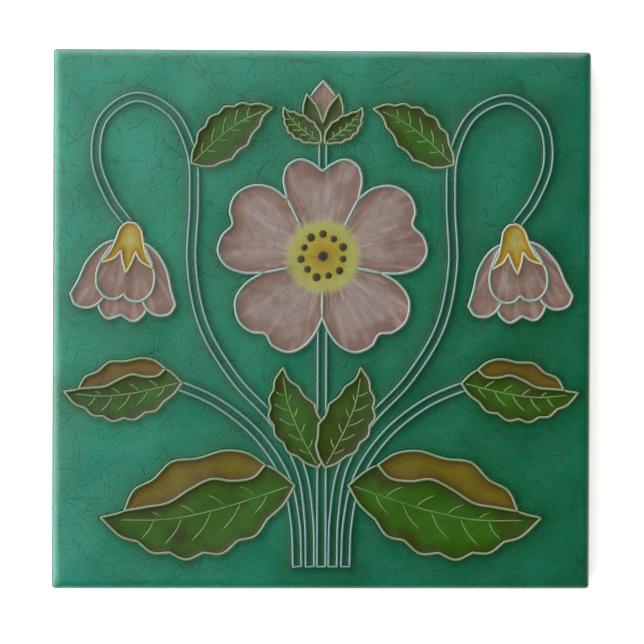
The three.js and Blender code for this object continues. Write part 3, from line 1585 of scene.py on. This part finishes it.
@dataclass(frozen=True)
class Camera:
    """The camera over the tile, a little to the left of its middle, as the photograph was taken."""

    aim: tuple[float, float, float] = (0.0, -0.0007, 0.007)
    distance: float = 1.0
    lean: Point = (-0.0435, 0.0074)
    roll: float = 0.0041
    lens: float = 196.9
    sensor: float = 36.0
    nearest: float = 0.01

    def build(self) -> None:
        """Set the camera up."""
        data = bpy.data.cameras.new("camera")
        data.lens = self.lens
        data.sensor_width = self.sensor
        data.clip_start = self.nearest
        camera = put_in_scene("camera", data)
        away = Vector((*map(math.sin, self.lean), 0))
        away.z = math.sqrt(1 - away.length_squared)
        right = (-away).cross(Vector((0, 1, 0))).normalized()
        up = right.cross(-away)
        axes = Matrix((right, up, away)).transposed() @ Matrix.Rotation(self.roll, 3, "Z")
        camera.matrix_world = Matrix.Translation(Vector(self.aim) + self.distance * away) @ axes.to_4x4()
        bpy.context.scene.camera = camera


@dataclass(frozen=True)
class Tent:
    """The white tent around the tile: it glows most low on the left and is dark low on the right."""

    glow: float = 5.6
    glow_toward: tuple[float, float, float] = (-0.94, 0.34, -0.345)
    glow_falloff: float = 2.0
    dimming: float = 0.5
    darkest: float = 0.03
    horizon: float = 0.55
    panel: float = 1.5
    panel_toward: Point = (-0.86, 0.51)
    panel_edge: Point = (-0.12, 0.16)
    whiteness: float = 0.8

    def build(self) -> bpy.types.World:
        """Make the tent.

        Returns:
            The world, whose light depends only on direction.
        """
        world = bpy.data.worlds.new("tent")
        world.use_nodes = True
        sheet = Sheet(world.node_tree)
        toward = {0: sheet.place, 1: Vector(self.glow_toward).normalized()}
        nearness = sheet.add("VectorMath", DOT, toward, "Value")
        share = sheet.add("MapRange", {}, {"Value": nearness, "From Min": -1.0})
        falling = sheet.add("Math", {"operation": "POWER"}, {0: share, 1: self.glow_falloff})
        dimmed = {0: falling, 1: self.glow, 2: -self.dimming}
        glow = sheet.add("Math", MULTIPLY_ADD, dimmed)
        lit = sheet.add("Math", MAXIMUM, {0: glow, 1: self.darkest})
        height = sheet.add("SeparateXYZ", {}, {0: sheet.place}, "Z")
        low = sheet.add("Math", MULTIPLY_ADD, {0: height, 1: -self.horizon, 2: self.horizon})
        base = sheet.add("Math", ADD, {0: lit, 1: low})
        facing = {0: sheet.place, 1: (*self.panel_toward, 0.0)}
        side = sheet.add("VectorMath", DOT, facing, "Value")
        dark, bright = self.panel_edge
        edge = {"Value": side, "From Min": dark, "From Max": bright, "To Max": self.panel}
        total = sheet.add("Math", ADD, {0: base, 1: sheet.add("MapRange", SMOOTHED, edge)})
        white = (self.whiteness, self.whiteness, self.whiteness, 1.0)
        sheet.feed(world.node_tree.nodes["Background"], {"Color": white, "Strength": total})
        return world


@dataclass(frozen=True)
class Studio:
    """A pale floor that glows a little, as a light table does, so that the shadow on it stays faint."""

    floor_half: float = 3.0
    floor_colour: str = "#f4f4f2"
    floor_roughness: float = 0.9
    floor_glow: float = 0.5

    def build(self) -> None:
        """Lay the floor, light it and set how the picture is read out."""
        shape = bmesh.new()
        bmesh.ops.create_grid(shape, x_segments=1, y_segments=1, size=self.floor_half)
        mesh = as_mesh(shape, "floor")
        floor = put_in_scene("floor", mesh)
        paper = bpy.data.materials.new("pale_paper_floor")
        paper.use_nodes = True
        pale = linear(self.floor_colour)
        surface = {
            "Base Color": pale, "Emission Color": pale, "Emission Strength": self.floor_glow,
            "Roughness": self.floor_roughness,
        }
        Sheet(paper.node_tree).feed(paper.node_tree.nodes["Principled BSDF"], surface)
        mesh.materials.append(paper)
        bpy.context.scene.world = Tent().build()
        bpy.context.scene.view_settings.view_transform = "Standard"


def main() -> None:
    """Build the tile and its studio, one piece after another."""
    logging.basicConfig(level=logging.INFO, format="%(message)s")
    Studio().build()
    Camera().build()
    picture = rose_fountain()
    relief = Relief()
    body = Body()
    body.dress()
    coat = GlazeCoat(body, picture, relief)
    level = coat.level
    petals = GlazePools(picture, relief, level, Colour.PETAL, "petals", "petal_glaze", PETALS)
    makers = [
        coat,
        petals,
        GlazePools(picture, relief, level, Colour.LEAF, "leaves", "leaf_glaze", LEAVES),
        GlazePools(picture, relief, level, Colour.OCHRE, "leaf_folds", "ochre_glaze", FOLDS),
        GlazePools(picture, relief, level, Colour.YELLOW, "calyces", "yellow_glaze", CALYCES),
        RaisedLines(picture, level, Line.STEM, "stem_lines", STEM_LINES),
        RaisedLines(picture, level, Line.PETAL, "petal_lines", PETAL_LINES, half_width=0.42),
        RaisedLines(picture, level, Line.LEAF, "leaf_lines", LEAF_LINES),
        RaisedLines(picture, level, Line.CALYX, "calyx_lines", CALYX_LINES),
        RaisedLines(
            picture, level, Line.VEIN, "leaf_veins", VEIN_LINES,
            half_width=0.24, height=0.13, end_taper=0.3,
        ),
        StamenDots(petals.surface, ROSE_EYE),
    ]
    for maker in makers:
        piece = maker.build()
        LOG.info("%s: %d faces", piece.name, len(piece.data.polygons))


if __name__ == "__main__":
    main()
